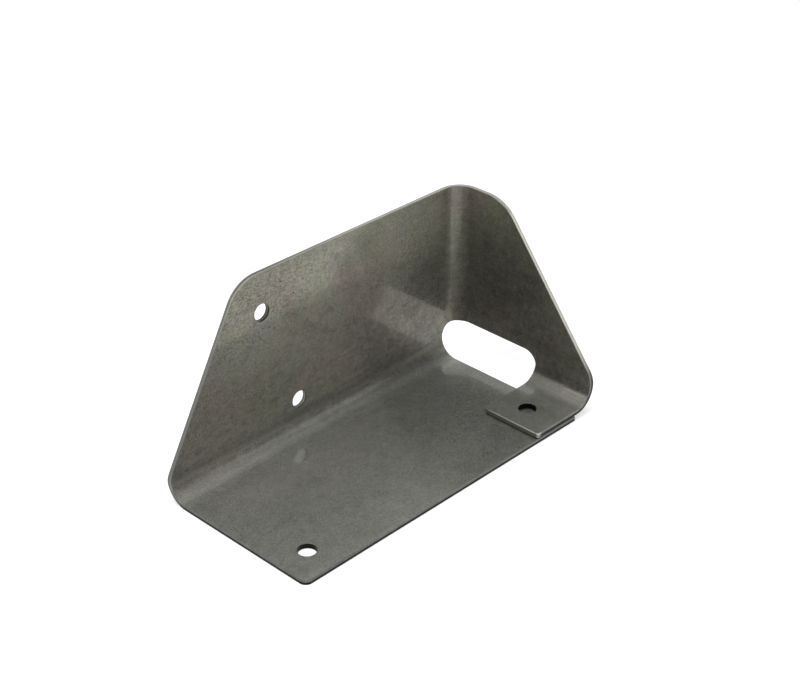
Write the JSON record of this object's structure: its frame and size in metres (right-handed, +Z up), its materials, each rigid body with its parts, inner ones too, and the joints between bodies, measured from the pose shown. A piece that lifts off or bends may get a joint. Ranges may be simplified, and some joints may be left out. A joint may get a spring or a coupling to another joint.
{
  "type": "stamped metal bracket",
  "caption": "Folded sheet steel corner bracket with a floor, a slanted back wall, a slanted side wall, a lapped tab and a corner relief opening.",
  "frame": {"origin": "middle of the footprint of the whole bracket, on the ground that its floor plate lies on", "axes": "+X to the right along the back wall towards the side wall, +Y from the open front to the back wall, +Z up"},
  "size_m": [0.156, 0.0734, 0.077],
  "materials": {
    "bare_steel": "bare cold-rolled sheet, half-mirror sheen with faint rolling streaks and deburred cut edges"
  },
  "bodies": {
    "root": {"bracket": "bare_steel"}
  },
  "joints": []
}
